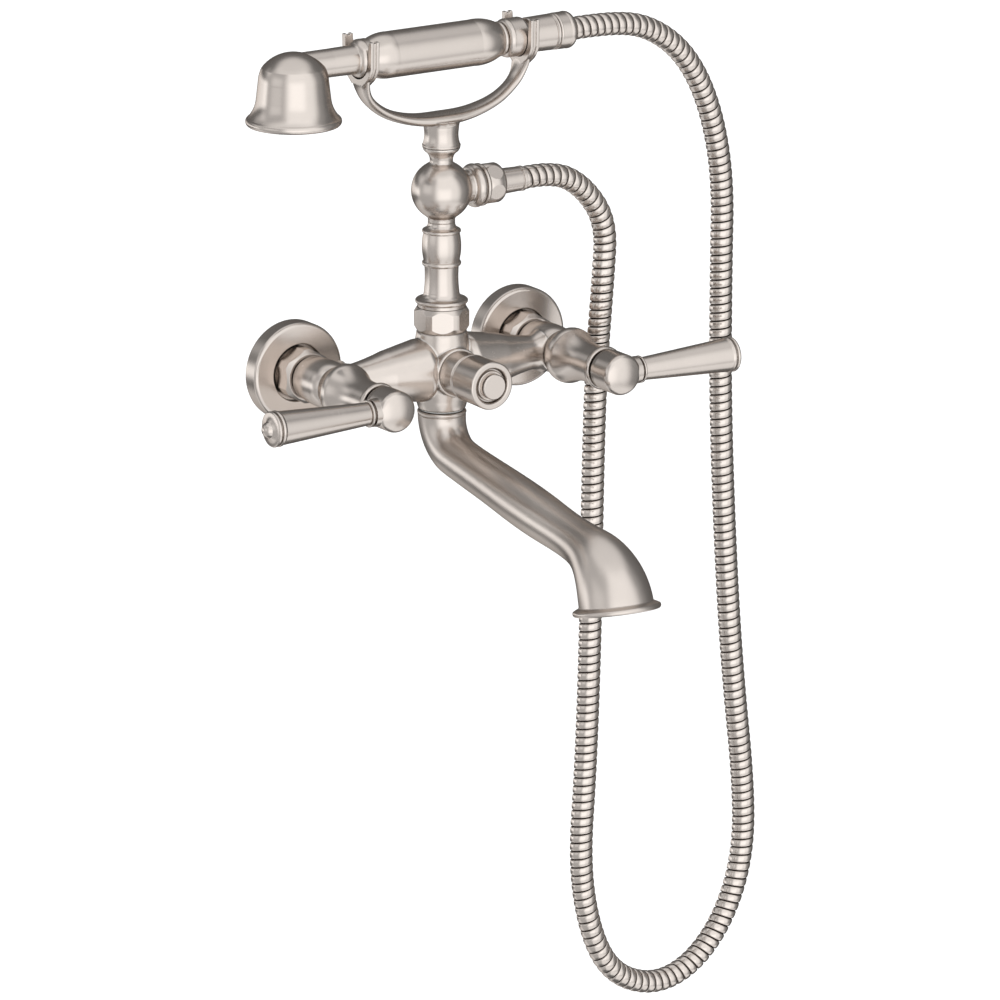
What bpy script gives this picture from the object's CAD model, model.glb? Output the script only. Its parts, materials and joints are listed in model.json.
import json
import math

import bmesh
import bpy
import numpy as np
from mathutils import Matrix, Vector


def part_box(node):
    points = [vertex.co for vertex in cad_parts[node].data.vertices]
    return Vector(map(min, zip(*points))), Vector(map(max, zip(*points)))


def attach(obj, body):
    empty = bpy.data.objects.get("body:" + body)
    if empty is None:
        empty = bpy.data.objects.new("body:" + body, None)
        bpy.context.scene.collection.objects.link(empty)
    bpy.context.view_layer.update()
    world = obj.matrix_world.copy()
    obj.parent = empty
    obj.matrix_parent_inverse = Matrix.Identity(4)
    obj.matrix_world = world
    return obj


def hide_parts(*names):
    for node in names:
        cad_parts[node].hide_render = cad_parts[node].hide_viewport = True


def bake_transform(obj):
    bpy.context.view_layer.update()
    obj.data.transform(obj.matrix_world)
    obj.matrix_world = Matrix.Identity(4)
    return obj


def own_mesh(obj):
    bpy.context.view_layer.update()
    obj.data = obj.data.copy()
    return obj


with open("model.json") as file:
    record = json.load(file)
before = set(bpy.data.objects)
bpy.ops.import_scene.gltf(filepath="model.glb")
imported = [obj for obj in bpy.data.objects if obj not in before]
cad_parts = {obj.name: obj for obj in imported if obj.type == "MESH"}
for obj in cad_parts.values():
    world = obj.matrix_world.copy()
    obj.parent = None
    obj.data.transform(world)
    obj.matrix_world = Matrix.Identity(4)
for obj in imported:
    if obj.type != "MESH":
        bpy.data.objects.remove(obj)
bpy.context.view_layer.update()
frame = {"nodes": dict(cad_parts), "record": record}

# Wall mounted bath faucet in satin nickel. Metres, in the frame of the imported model:
# the wall is the plane y = 0, the object stands out from it towards -y, and z is up.

scene = bpy.context.scene
nodes = frame["nodes"]


# --- camera -----------------------------------------------------------------------------
VIEW_AZIMUTH = math.radians(-32.91)
VIEW_ELEVATION = math.radians(15.36)
VIEW_DISTANCE = 5.522
VIEW_AIM = Vector((0.0346, -0.0491, -0.0816))


def heading(azimuth, elevation):
    """Unit vector from the object towards an azimuth, 0 being -y and 90 degrees +x."""
    return Vector((math.sin(azimuth) * math.cos(elevation), -math.cos(azimuth) * math.cos(elevation),
                   math.sin(elevation)))


def make_camera():
    data = bpy.data.cameras.new("camera")
    data.sensor_width = 36.0
    data.lens = 350.46
    data.clip_end = 100.0
    camera = bpy.data.objects.new("camera", data)
    scene.collection.objects.link(camera)
    back = heading(VIEW_AZIMUTH, VIEW_ELEVATION)
    camera.location = VIEW_AIM + back * VIEW_DISTANCE
    camera.rotation_mode = "QUATERNION"
    camera.rotation_quaternion = (-back).to_track_quat("-Z", "Y")
    scene.camera = camera


make_camera()


# --- shower hose ------------------------------------------------------------------------
HOSE_Y = -0.0421
HOSE_ROUTE = ((0.0535, 0.1022), (0.0745, 0.1035), (0.095, 0.0925), (0.111, 0.0695), (0.109, 0.037),
              (0.104, -0.019), (0.102, -0.09), (0.101, -0.17), (0.098, -0.251), (0.0935, -0.311),
              (0.102, -0.3555), (0.118, -0.3815), (0.146, -0.3925), (0.1725, -0.3845),
              (0.1945, -0.3605), (0.2075, -0.3255), (0.2085, -0.284), (0.199, -0.2045),
              (0.1935, -0.125), (0.19, -0.0445), (0.19, 0.03), (0.191, 0.0855), (0.1815, 0.1295),
              (0.1645, 0.161), (0.14, 0.1795), (0.1135, 0.185), (0.0865, 0.1844))
HOSE_RADIUS = 0.00665
HOSE_PITCH = 0.00485
HOSE_SIDES = 36
GROOVE_DEPTH = 0.0013
LIP = 0.15                 # share of a turn over which the strip rises out of the groove
CROWN = 0.32               # how much lower a turn's sides are than its middle
# Rows of vertices in one turn of the strip, as shares of the pitch.
BAND = (0.0, 0.05, 0.1, 0.15, 0.23, 0.36, 0.5, 0.64, 0.77, 0.85, 0.9, 0.95)
WELD = 1e-7


def hose_line():
    """Points along the hose, read from the smooth spline through its route."""
    curve = bpy.data.curves.new("hose_line", "CURVE")
    curve.dimensions = "3D"
    spline = curve.splines.new("NURBS")
    spline.points.add(len(HOSE_ROUTE) - 1)
    for point, (x, z) in zip(spline.points, HOSE_ROUTE):
        point.co = (x, HOSE_Y, z, 1.0)
    spline.order_u = 3
    spline.use_endpoint_u = True
    spline.resolution_u = 32
    holder = bpy.data.objects.new("hose_line", curve)
    scene.collection.objects.link(holder)
    mesh = bpy.data.meshes.new_from_object(holder)
    points = np.array([v.co for v in mesh.vertices], float)
    bpy.data.objects.remove(holder)
    bpy.data.meshes.remove(mesh)
    return points


def band_height(share):
    """Height of one turn of the strip above the bottom of its groove, from 0 to 1."""
    shoulder = min(1.0, share / LIP, (1.0 - share) / LIP)
    crown = 1.0 - CROWN * (2 * share - 1) ** 2
    return math.sin(math.pi / 2 * shoulder) * crown


def smooth_mesh(name, vertices, faces):
    mesh = bpy.data.meshes.new(name)
    mesh.from_pydata(vertices, [], faces)
    mesh.validate()
    mesh.shade_smooth()
    obj = bpy.data.objects.new(name, mesh)
    scene.collection.objects.link(obj)
    return obj


def hose_mesh(line):
    """Interlocked strip wound as a left-handed spiral: one grid sheared along the helix."""
    steps = np.linalg.norm(np.diff(line, axis=0), axis=1)
    along = np.concatenate([[0.0], np.cumsum(steps)])
    slope = np.gradient(line, along, axis=0)
    turns = math.ceil(along[-1] / HOSE_PITCH) + 2
    rows = turns * len(BAND)
    side = np.arange(HOSE_SIDES) / HOSE_SIDES
    row_start = np.repeat(np.arange(turns) - 1, len(BAND)) + np.tile(BAND, turns)
    place = np.clip((row_start[:, None] + side) * HOSE_PITCH, 0.0, along[-1])
    centre = np.stack([np.interp(place, along, line[:, k]) for k in range(3)], axis=-1)
    tangent = np.stack([np.interp(place, along, slope[:, k]) for k in range(3)], axis=-1)
    tangent /= np.linalg.norm(tangent, axis=-1, keepdims=True)
    across = np.array([0.0, 1.0, 0.0])
    normal = np.cross(across, tangent)
    depth = np.tile([1.0 - band_height(share) for share in BAND], turns)
    angle = 2 * math.pi * side[None, :, None]
    radius = (HOSE_RADIUS - GROOVE_DEPTH * depth)[:, None, None]
    vertices = centre + radius * (np.cos(angle) * normal + np.sin(angle) * across)
    faces = []
    for row in range(rows - 1):
        for k in range(HOSE_SIDES):
            here = row * HOSE_SIDES + k
            right = here + 1 if k + 1 < HOSE_SIDES else (row + len(BAND)) * HOSE_SIDES
            if right + HOSE_SIDES < rows * HOSE_SIDES:
                faces.append((here, right, right + HOSE_SIDES, here + HOSE_SIDES))
    obj = smooth_mesh("hose_spiral", vertices.reshape(-1, 3).tolist(), faces)
    groove = obj.data.attributes.new("groove", "FLOAT", "POINT")
    groove.data.foreach_set("value", np.repeat(depth, HOSE_SIDES))
    return obj


line = hose_line()
hose = hose_mesh(line)
edit = bmesh.new()
edit.from_mesh(hose.data)
bmesh.ops.dissolve_degenerate(edit, dist=WELD, edges=edit.edges)
bmesh.ops.recalc_face_normals(edit, faces=edit.faces)
edit.to_mesh(hose.data)
edit.free()
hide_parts("shower_hose")
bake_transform(hose)


# --- materials --------------------------------------------------------------------------
NICKEL = (0.665, 0.607, 0.563)
HOSE_STEEL = (0.69, 0.63, 0.585)
BRASS = (0.74, 0.55, 0.29)
STEEL = (0.56, 0.56, 0.57)
POLISHED_EDGE = (0.88, 0.85, 0.82, 1)
GRAZING_TINT = (0.6, 0.56, 0.53, 1)
SATIN = 0.25               # roughness of the brushed nickel
SPOUT_SATIN = 0.3
BRUSH_DEPTH = 0.00003      # height of the brushing
CREVICE = 0.003            # distance within which neighbouring metal darkens a corner


def add(tree, kind, inputs=None, **settings):
    """A shader node with its settings, and its inputs as values or as links from sockets."""
    node = tree.nodes.new(kind)
    for name, value in settings.items():
        setattr(node, name, value)
    for name, value in (inputs or {}).items():
        if isinstance(value, bpy.types.NodeSocket):
            tree.links.new(value, node.inputs[name])
        else:
            node.inputs[name].default_value = value
    return node


def ranged(tree, value, low, high, out_low, out_high):
    """Map a value smoothly from one range to another, and hold it there."""
    return add(tree, "ShaderNodeMapRange", {"Value": value, "From Min": low, "From Max": high,
                                            "To Min": out_low, "To Max": out_high},
               interpolation_type="SMOOTHSTEP").outputs[0]


def maths(tree, operation, first, second):
    return add(tree, "ShaderNodeMath", {0: first, 1: second}, operation=operation).outputs[0]


def new_material(name):
    material = bpy.data.materials.new(name)
    material.use_nodes = True
    tree = material.node_tree
    tree.nodes.clear()
    shader = add(tree, "ShaderNodeBsdfPrincipled")
    out = add(tree, "ShaderNodeOutputMaterial")
    tree.links.new(shader.outputs[0], out.inputs["Surface"])
    return material, tree, shader


def object_place(tree):
    return add(tree, "ShaderNodeTexCoord").outputs["Object"]


def noise(tree, vector, scale, detail=3.0):
    return add(tree, "ShaderNodeTexNoise", {"Vector": vector, "Scale": scale, "Detail": detail,
                                            "Roughness": 0.6}).outputs[0]


def mixed(tree, factor, first, second, blend_type="MIX"):
    """A colour between two others, or their product."""
    return add(tree, "ShaderNodeMix", {0: factor, 6: first, 7: second}, data_type="RGBA",
               blend_type=blend_type).outputs[2]


def stretched(tree, vector, scales):
    return add(tree, "ShaderNodeVectorMath", {0: vector, 1: scales}, operation="MULTIPLY").outputs[0]


def groove_shade(tree):
    """Dirt and shade in the groove between two turns of the hose."""
    groove = add(tree, "ShaderNodeAttribute", attribute_name="groove").outputs["Fac"]
    return ranged(tree, groove, 0.2, 0.8, 1.0, 0.05)


def satin_metal(name, colour, roughness, grain, edge=0.0003, brush=0.07, grooved=False):
    """Brushed metal: fine streaks along the grain, cloudy wear, bright edges, dark crevices.

    Grain is the number of streaks per metre along each axis, edge the radius of the rounded corners
    and brush the strength of the brushing. A grooved metal darkens where the groove value is high.
    """
    material, tree, shader = new_material(name)
    place = object_place(tree)
    streaks = noise(tree, stretched(tree, place, grain), 1.0)
    clouds = noise(tree, place, 45.0)
    soft_edge = add(tree, "ShaderNodeBevel", {"Radius": edge}, samples=10).outputs[0]
    flat = add(tree, "ShaderNodeNewGeometry").outputs["Normal"]
    turn = add(tree, "ShaderNodeVectorMath", {0: soft_edge, 1: flat}, operation="DOT_PRODUCT")
    worn = ranged(tree, turn.outputs["Value"], 0.995, 0.9, 0.0, 0.5)
    open_sky = add(tree, "ShaderNodeAmbientOcclusion", {"Distance": CREVICE}, samples=8).outputs["AO"]
    shade = ranged(tree, open_sky, 0.05, 0.7, 0.55, 1.0)
    if grooved:
        shade = maths(tree, "MULTIPLY", shade, groove_shade(tree))
    light = [min(1.0, c * 1.03) for c in colour]
    dark = [c * 0.97 for c in colour]
    tone = maths(tree, "ADD", ranged(tree, clouds, 0.3, 0.7, 0.0, 0.6),
                 ranged(tree, streaks, 0.3, 0.7, 0.0, 0.4))
    base = mixed(tree, tone, (*dark, 1), (*light, 1))
    lit_edge = mixed(tree, worn, base, POLISHED_EDGE)
    tree.links.new(mixed(tree, 1.0, lit_edge, shade, "MULTIPLY"), shader.inputs["Base Color"])
    rough = maths(tree, "ADD", ranged(tree, clouds, 0.3, 0.7, roughness - 0.012, roughness + 0.012),
                  ranged(tree, streaks, 0.25, 0.75, -0.015, 0.015))
    tree.links.new(maths(tree, "SUBTRACT", rough, maths(tree, "MULTIPLY", worn, 0.14)),
                   shader.inputs["Roughness"])
    bump = add(tree, "ShaderNodeBump", {"Strength": brush, "Distance": BRUSH_DEPTH, "Height": streaks,
                                        "Normal": soft_edge})
    tree.links.new(bump.outputs[0], shader.inputs["Normal"])
    shader.inputs["Metallic"].default_value = 1.0
    shader.inputs["Specular Tint"].default_value = GRAZING_TINT
    return material


def dielectric(name, dark, light, roughness, grain_scale, relief_height, coat=0.0):
    """Moulded or fired material: two close tones, uneven gloss and a fine surface texture."""
    material, tree, shader = new_material(name)
    place = object_place(tree)
    grain = noise(tree, place, grain_scale, detail=5.0)
    flow = noise(tree, place, 120.0)
    open_sky = add(tree, "ShaderNodeAmbientOcclusion", {"Distance": CREVICE}, samples=6).outputs["AO"]
    shade = ranged(tree, open_sky, 0.1, 0.9, 0.45, 1.0)
    base = mixed(tree, ranged(tree, flow, 0.3, 0.7, 0.0, 1.0), (*dark, 1), (*light, 1))
    tree.links.new(mixed(tree, 1.0, base, shade, "MULTIPLY"), shader.inputs["Base Color"])
    tree.links.new(ranged(tree, flow, 0.3, 0.7, roughness - 0.06, roughness + 0.06),
                   shader.inputs["Roughness"])
    bump = add(tree, "ShaderNodeBump", {"Strength": 0.4, "Distance": relief_height, "Height": grain})
    tree.links.new(bump.outputs[0], shader.inputs["Normal"])
    shader.inputs["Coat Weight"].default_value = coat
    return material


# Scales of the brushing streaks per metre: turned parts are brushed round their axis.
ROUND_X = (2600.0, 90.0, 90.0)
ROUND_Y = (90.0, 2600.0, 90.0)
ROUND_Z = (90.0, 90.0, 2600.0)
CAST = (500.0, 500.0, 500.0)
ALONG_Y = (3000.0, 100.0, 3000.0)
CAST_FILLET = 0.0018

GRAIN = {"mixer_body": "cast", "ball_tee": "ball", "cradle": "bow", "spout": "along_y"}
GRAIN.update(dict.fromkeys(("inlet_nuts", "diverter_sleeve", "diverter_knob", "knob_button"), "round_y"))
GRAIN.update(dict.fromkeys(("riser_nut", "riser_column", "bell"), "round_z"))
for side in ("left", "right"):
    for part in ("wall_flange", "bonnet", "handle_hub"):
        GRAIN[side + "_" + part] = "round_y"

nickel = {
    "round_x": satin_metal("nickel_round_x", NICKEL, SATIN, ROUND_X),
    "round_y": satin_metal("nickel_round_y", NICKEL, SATIN, ROUND_Y),
    "round_z": satin_metal("nickel_round_z", NICKEL, SATIN, ROUND_Z),
    "along_y": satin_metal("nickel_along_y", NICKEL, SPOUT_SATIN, ALONG_Y, brush=0.03),
    "ball": satin_metal("nickel_ball", NICKEL, SATIN, ROUND_Z, edge=CAST_FILLET),
    "bow": satin_metal("nickel_bow", NICKEL, SATIN, CAST, edge=0.0005),
    "cast": satin_metal("nickel_cast", NICKEL, SATIN, CAST, edge=CAST_FILLET),
}
plain = {
    "brass": satin_metal("brass", BRASS, 0.3, ROUND_Y),
    "steel": satin_metal("steel", STEEL, 0.28, CAST, edge=0.0001),
    "ceramic": dielectric("ceramic", (0.83, 0.81, 0.77), (0.9, 0.89, 0.86), 0.16, 2500.0, 0.000008,
                          coat=0.3),
    "rubber": dielectric("rubber", (0.02, 0.02, 0.021), (0.045, 0.044, 0.043), 0.6, 1800.0, 0.00004),
    "white_plastic": dielectric("white_plastic", (0.76, 0.76, 0.74), (0.84, 0.84, 0.82), 0.4, 900.0,
                                0.00002),
    "grey_plastic": dielectric("grey_plastic", (0.3, 0.31, 0.32), (0.37, 0.38, 0.39), 0.42, 900.0,
                               0.00003),
}


def paint(obj, material):
    obj.data.materials.clear()
    obj.data.materials.append(material)


for entry in frame["record"]["subparts"]:
    name, slot = entry["node"], entry["material_slot"]
    if slot == "nickel":
        paint(nodes[name], nickel[GRAIN.get(name, "round_x")])
    elif slot in plain:
        paint(nodes[name], plain[slot])

paint(hose, satin_metal("hose_strip", HOSE_STEEL, 0.21, CAST, grooved=True))


# --- supply threads ---------------------------------------------------------------------
SUPPLY_PITCH = 0.001814
SUPPLY_RADIUS = 0.010478
THREAD_FIRST = 0.0012      # where the ridge starts, behind the plane of the wall
THREAD_TURNS = 7
THREAD_STEPS = 48          # steps to a turn
RIDGE_ROOT = 0.0002        # how far the ridge's foot is sunk in the pipe
RIDGE = ((-0.00078, -RIDGE_ROOT), (-0.00012, 0.0004), (0.00012, 0.0004), (0.00078, -RIDGE_ROOT))


def supply_thread(side):
    """Ridge of the pipe thread round one inlet, running out at both ends."""
    low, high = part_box(side + "_inlet_nipple")
    centre_x = (low[0] + high[0]) / 2
    steps = THREAD_TURNS * THREAD_STEPS
    rows = len(RIDGE)
    vertices = []
    faces = []
    for step in range(steps + 1):
        angle = 2 * math.pi * step / THREAD_STEPS
        middle = THREAD_FIRST + SUPPLY_PITCH * step / THREAD_STEPS
        fade = min(1.0, 2 * step / THREAD_STEPS, 2 * (steps - step) / THREAD_STEPS)
        for offset, height in RIDGE:
            radius = SUPPLY_RADIUS - RIDGE_ROOT + (height + RIDGE_ROOT) * fade
            vertices.append((centre_x + radius * math.cos(angle), middle + offset,
                             radius * math.sin(angle)))
    for step in range(steps):
        for k in range(rows):
            here = step * rows + k
            after = step * rows + (k + 1) % rows
            faces.append((here, after, after + rows, here + rows))
    faces.append(tuple(reversed(range(rows))))
    faces.append(tuple(range(steps * rows, (steps + 1) * rows)))
    thread = smooth_mesh(side + "_supply_thread", vertices, faces)
    thread.data.shade_flat()
    paint(thread, plain["brass"])
    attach(thread, "faucet")


supply_thread("left")
supply_thread("right")


# --- return spring ----------------------------------------------------------------------
SPRING_START = 0.054       # distances of the spring's ends from the wall
SPRING_END = 0.0674
SPRING_RADIUS = 0.0062
SPRING_WIRE = 0.0007
SPRING_TURNS = 4
SPRING_STEPS = 28
WIRE_SIDES = 10


def return_spring():
    """Wire helix about the diverter's rod. The pulled knob presses it against the sleeve."""
    steps = SPRING_STEPS * SPRING_TURNS
    rise = SPRING_END - SPRING_START - 2 * SPRING_WIRE
    vertices = []
    faces = []
    for step in range(steps + 1):
        angle = 2 * math.pi * step / SPRING_STEPS
        middle = SPRING_START + SPRING_WIRE + rise * step / steps
        for k in range(WIRE_SIDES):
            around = 2 * math.pi * k / WIRE_SIDES
            radius = SPRING_RADIUS + SPRING_WIRE * math.cos(around)
            vertices.append((radius * math.cos(angle), -middle - SPRING_WIRE * math.sin(around),
                             radius * math.sin(angle)))
    for step in range(steps):
        for k in range(WIRE_SIDES):
            here = step * WIRE_SIDES + k
            after = step * WIRE_SIDES + (k + 1) % WIRE_SIDES
            faces.append((here, here + WIRE_SIDES, after + WIRE_SIDES, after))
    faces.append(tuple(range(WIRE_SIDES)))
    faces.append(tuple(reversed(range(steps * WIRE_SIDES, (steps + 1) * WIRE_SIDES))))
    spring = smooth_mesh("return_spring", vertices, faces)
    paint(spring, plain["steel"])
    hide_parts("diverter_spring")
    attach(spring, "faucet")
    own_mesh(spring)


return_spring()


# --- spray nozzles ----------------------------------------------------------------------
NOZZLE_RINGS = ((0.006, 6), (0.0115, 12), (0.017, 18))    # radius and number of nozzles
# Radius and height above the plate's face, from the bore round the tip to the outside.
NOZZLE_OUTLINE = ((0.00035, 0.0010), (0.00035, -0.0006), (0.00055, -0.00075), (0.0007, -0.0006),
                  (0.0009, 0.0002), (0.0009, 0.0010))
NOZZLE_SIDES = 12


def spray_nozzles():
    """Soft nozzles that stand a little out of the holes of the spray plate."""
    low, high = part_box("spray_plate")
    middle = [(a + b) / 2 for a, b in zip(low, high)]
    vertices = []
    faces = []
    for ring, count in NOZZLE_RINGS:
        for k in range(count):
            angle = 2 * math.pi * k / count
            centre = (middle[0] + ring * math.cos(angle), middle[1] + ring * math.sin(angle))
            first = len(vertices)
            for radius, height in NOZZLE_OUTLINE:
                for step in range(NOZZLE_SIDES):
                    around = 2 * math.pi * step / NOZZLE_SIDES
                    vertices.append((centre[0] + radius * math.cos(around),
                                     centre[1] + radius * math.sin(around), low[2] + height))
            for row in range(len(NOZZLE_OUTLINE) - 1):
                for step in range(NOZZLE_SIDES):
                    here = first + row * NOZZLE_SIDES
                    after = (step + 1) % NOZZLE_SIDES
                    faces.append((here + step, here + after, here + NOZZLE_SIDES + after,
                                  here + NOZZLE_SIDES + step))
    nozzles = smooth_mesh("spray_nozzles", vertices, faces)
    paint(nozzles, plain["rubber"])
    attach(nozzles, "handset")


spray_nozzles()


# --- light and floor --------------------------------------------------------------------
def cosine(degrees):
    return math.cos(math.radians(min(max(degrees, 0), 180)))


def sine(degrees):
    return math.sin(math.radians(min(max(degrees, -90), 90)))


def panel(tree, direction, azimuth, half_width, bottom, top, soft):
    """1 inside a patch of sky given in degrees, falling softly to 0 outside it."""
    aim = heading(math.radians(azimuth), 0.0)
    level = stretched(tree, direction, (1.0, 1.0, 0.0))
    level = add(tree, "ShaderNodeVectorMath", {0: level}, operation="NORMALIZE").outputs[0]
    facing = add(tree, "ShaderNodeVectorMath", {0: level, 1: aim}, operation="DOT_PRODUCT").outputs["Value"]
    height = add(tree, "ShaderNodeSeparateXYZ", {0: direction}).outputs["Z"]
    wide = ranged(tree, facing, cosine(half_width + soft), cosine(half_width - soft), 0.0, 1.0)
    above = ranged(tree, height, sine(bottom - soft), sine(bottom + soft), 0.0, 1.0)
    below = ranged(tree, height, sine(top + soft), sine(top - soft), 0.0, 1.0)
    return maths(tree, "MULTIPLY", wide, maths(tree, "MULTIPLY", above, below))


# Soft boxes: azimuth, half width, bottom and top in degrees, brightness, softness in degrees.
SOFT_BOXES = ((-5, 46, -34, 58, 1.03, 14), (-20, 24, -32, 12, 0.35, 8), (-92, 46, -68, 60, 0.38, 9),
              (-88, 18, -6, 24, 0.35, 6), (-158, 34, -14, 2, 1.15, 4), (-142, 16, 17, 34, 0.4, 6),
              (56, 16, -42, 60, 0.16, 8), (-170, 40, -62, -27, 0.62, 4), (20, 64, -72, -36, 0.9, 6))
SKY = 0.19
ZENITH = 0.9
ZENITH_FROM = 42           # the sky brightens between these heights
ZENITH_TO = 66


def make_world():
    world = bpy.data.worlds.new("studio")
    scene.world = world
    world.use_nodes = True
    tree = world.node_tree
    tree.nodes.clear()
    direction = add(tree, "ShaderNodeTexCoord").outputs["Generated"]
    height = add(tree, "ShaderNodeSeparateXYZ", {0: direction}).outputs["Z"]
    total = ranged(tree, height, sine(ZENITH_FROM), sine(ZENITH_TO), SKY, ZENITH)
    for azimuth, half_width, bottom, top, strength, soft in SOFT_BOXES:
        patch = panel(tree, direction, azimuth, half_width, bottom, top, soft)
        total = maths(tree, "ADD", total, maths(tree, "MULTIPLY", patch, strength))
    background = add(tree, "ShaderNodeBackground", {"Strength": total})
    background.inputs["Color"].default_value = (1.0, 1.0, 1.0, 1.0)
    out = add(tree, "ShaderNodeOutputWorld")
    tree.links.new(background.outputs[0], out.inputs["Surface"])


make_world()


FLOOR_Z = -1
FLOOR_HALF = 60


def make_floor():
    """Pale floor well below the hose. It isn't mirrored in the metal, which shows the soft boxes."""
    corners = [(x * FLOOR_HALF, y * FLOOR_HALF, FLOOR_Z) for x, y in ((-1, -1), (1, -1), (1, 1), (-1, 1))]
    floor = smooth_mesh("floor", corners, [(0, 1, 2, 3)])
    material, tree, shader = new_material("pale_floor")
    speckle = noise(tree, object_place(tree), 3.0)
    tree.links.new(mixed(tree, speckle, (0.93, 0.93, 0.93, 1), (0.95, 0.95, 0.95, 1)),
                   shader.inputs["Base Color"])
    shader.inputs["Roughness"].default_value = 0.9
    shader.inputs["Emission Color"].default_value = (1, 1, 1, 1)
    shader.inputs["Emission Strength"].default_value = 0.5
    floor.data.materials.append(material)
    floor.visible_glossy = False


make_floor()
scene.view_settings.view_transform = "Standard"
